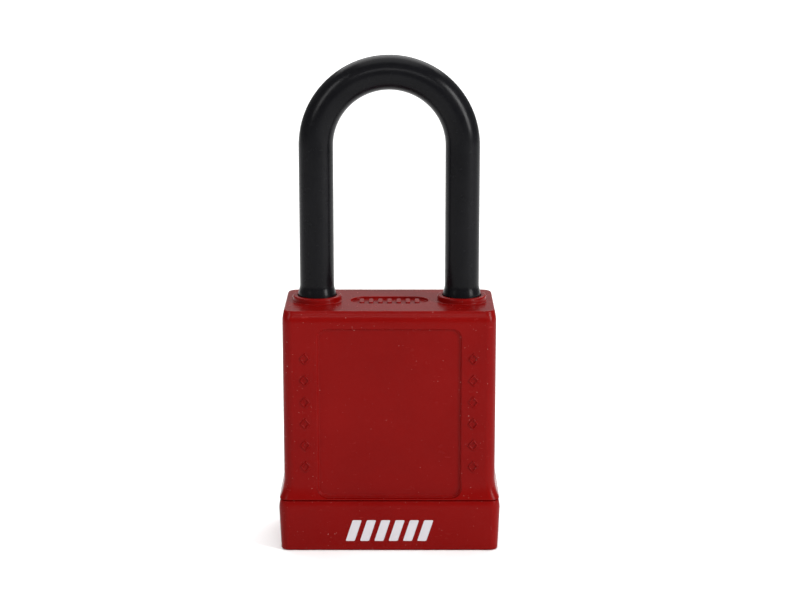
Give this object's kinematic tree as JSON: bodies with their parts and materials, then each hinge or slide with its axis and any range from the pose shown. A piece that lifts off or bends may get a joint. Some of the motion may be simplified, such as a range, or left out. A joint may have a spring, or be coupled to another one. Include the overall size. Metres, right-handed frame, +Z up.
{
  "type": "safety padlock",
  "caption": "Lockout safety padlock: moulded plastic jacket over a metal lock body, long nylon-sleeved shackle, pin cylinder that throws two shackle bolts.",
  "frame": {"origin": "centre of the padlock's base, at the bottom face", "axes": "+Z up towards the shackle's arch, +X towards the toe leg, +Y towards the back; the front label panel faces -Y"},
  "size_m": [0.042, 0.0212, 0.0932],
  "materials": {
    "red_plastic": "semi-gloss moulded thermoplastic, faint dust and moulding marks",
    "black_nylon": "satin nylon sleeve",
    "shackle_steel": "drawn bar, satin",
    "hardened_steel": "turned and ground",
    "spring_wire": "bright spring wire",
    "lock_aluminium": "machined",
    "plug_brass": "turned, light polish",
    "pin_brass": "turned"
  },
  "bodies": {
    "body": {"lock_body": "lock_aluminium", "cover": "red_plastic", "base_cap": "red_plastic", "heel_stop_pin": "hardened_steel", "plug_retaining_pin": "hardened_steel", "bolt_bore_plug": "lock_aluminium", "lift_spring": "spring_wire", "chamber_plug_1": "lock_aluminium", "chamber_plug_2": "lock_aluminium", "chamber_plug_3": "lock_aluminium", "chamber_plug_4": "lock_aluminium", "chamber_plug_5": "lock_aluminium", "pin_spring_1": "spring_wire", "pin_spring_2": "spring_wire", "pin_spring_3": "spring_wire", "pin_spring_4": "spring_wire", "pin_spring_5": "spring_wire"},
    "shackle": {"shackle_core": "shackle_steel", "shackle_sleeve": "black_nylon"},
    "cylinder": {"cylinder_plug": "plug_brass", "drive_cam": "hardened_steel"},
    "toe_bolt": {"toe_bolt": "hardened_steel"},
    "heel_bolt": {"heel_bolt": "hardened_steel"},
    "key_pin_1": {"key_pin_1": "pin_brass"},
    "driver_pin_1": {"driver_pin_1": "pin_brass"},
    "key_pin_2": {"key_pin_2": "pin_brass"},
    "driver_pin_2": {"driver_pin_2": "pin_brass"},
    "key_pin_3": {"key_pin_3": "pin_brass"},
    "driver_pin_3": {"driver_pin_3": "pin_brass"},
    "key_pin_4": {"key_pin_4": "pin_brass"},
    "driver_pin_4": {"driver_pin_4": "pin_brass"},
    "key_pin_5": {"key_pin_5": "pin_brass"},
    "driver_pin_5": {"driver_pin_5": "pin_brass"}
  },
  "joints": [
    {"name": "shackle_lift", "type": "slide", "parent": "body", "child": "shackle", "axis": [0, 0, 1], "range_m": [0, 0.014], "deforming": ["lift_spring"]},
    {"name": "plug_turn", "type": "hinge", "parent": "body", "child": "cylinder", "pos_m": [0, 0, 0], "axis": [0, 0, 1], "range_deg": [-90, 0]},
    {"name": "toe_bolt_slide", "type": "slide", "parent": "body", "child": "toe_bolt", "axis": [1, 0, 0], "range_m": [0, 0.0022]},
    {"name": "heel_bolt_slide", "type": "slide", "parent": "body", "child": "heel_bolt", "axis": [-1, 0, 0], "range_m": [0, 0.0022]},
    {"name": "key_pin_1_slide", "type": "slide", "parent": "cylinder", "child": "key_pin_1", "axis": [0, -1, 0], "range_m": [0, 0.0016]},
    {"name": "driver_pin_1_slide", "type": "slide", "parent": "body", "child": "driver_pin_1", "axis": [1, 0, 0], "range_m": [0, 0.0015], "deforming": ["pin_spring_1"]},
    {"name": "key_pin_2_slide", "type": "slide", "parent": "cylinder", "child": "key_pin_2", "axis": [0, -1, 0], "range_m": [0, 0.001]},
    {"name": "driver_pin_2_slide", "type": "slide", "parent": "body", "child": "driver_pin_2", "axis": [1, 0, 0], "range_m": [0, 0.0015], "deforming": ["pin_spring_2"]},
    {"name": "key_pin_3_slide", "type": "slide", "parent": "cylinder", "child": "key_pin_3", "axis": [0, -1, 0], "range_m": [0, 0.0013]},
    {"name": "driver_pin_3_slide", "type": "slide", "parent": "body", "child": "driver_pin_3", "axis": [1, 0, 0], "range_m": [0, 0.0015], "deforming": ["pin_spring_3"]},
    {"name": "key_pin_4_slide", "type": "slide", "parent": "cylinder", "child": "key_pin_4", "axis": [0, -1, 0], "range_m": [0, 0.0007]},
    {"name": "driver_pin_4_slide", "type": "slide", "parent": "body", "child": "driver_pin_4", "axis": [1, 0, 0], "range_m": [0, 0.0015], "deforming": ["pin_spring_4"]},
    {"name": "key_pin_5_slide", "type": "slide", "parent": "cylinder", "child": "key_pin_5", "axis": [0, -1, 0], "range_m": [0, 0.0018]},
    {"name": "driver_pin_5_slide", "type": "slide", "parent": "body", "child": "driver_pin_5", "axis": [1, 0, 0], "range_m": [0, 0.0015], "deforming": ["pin_spring_5"]}
  ],
  "couplings": [
    {"joint": "toe_bolt_slide", "follows": "plug_turn", "m_per_rad": -0.0014},
    {"joint": "heel_bolt_slide", "follows": "plug_turn", "m_per_rad": -0.0014}
  ]
}
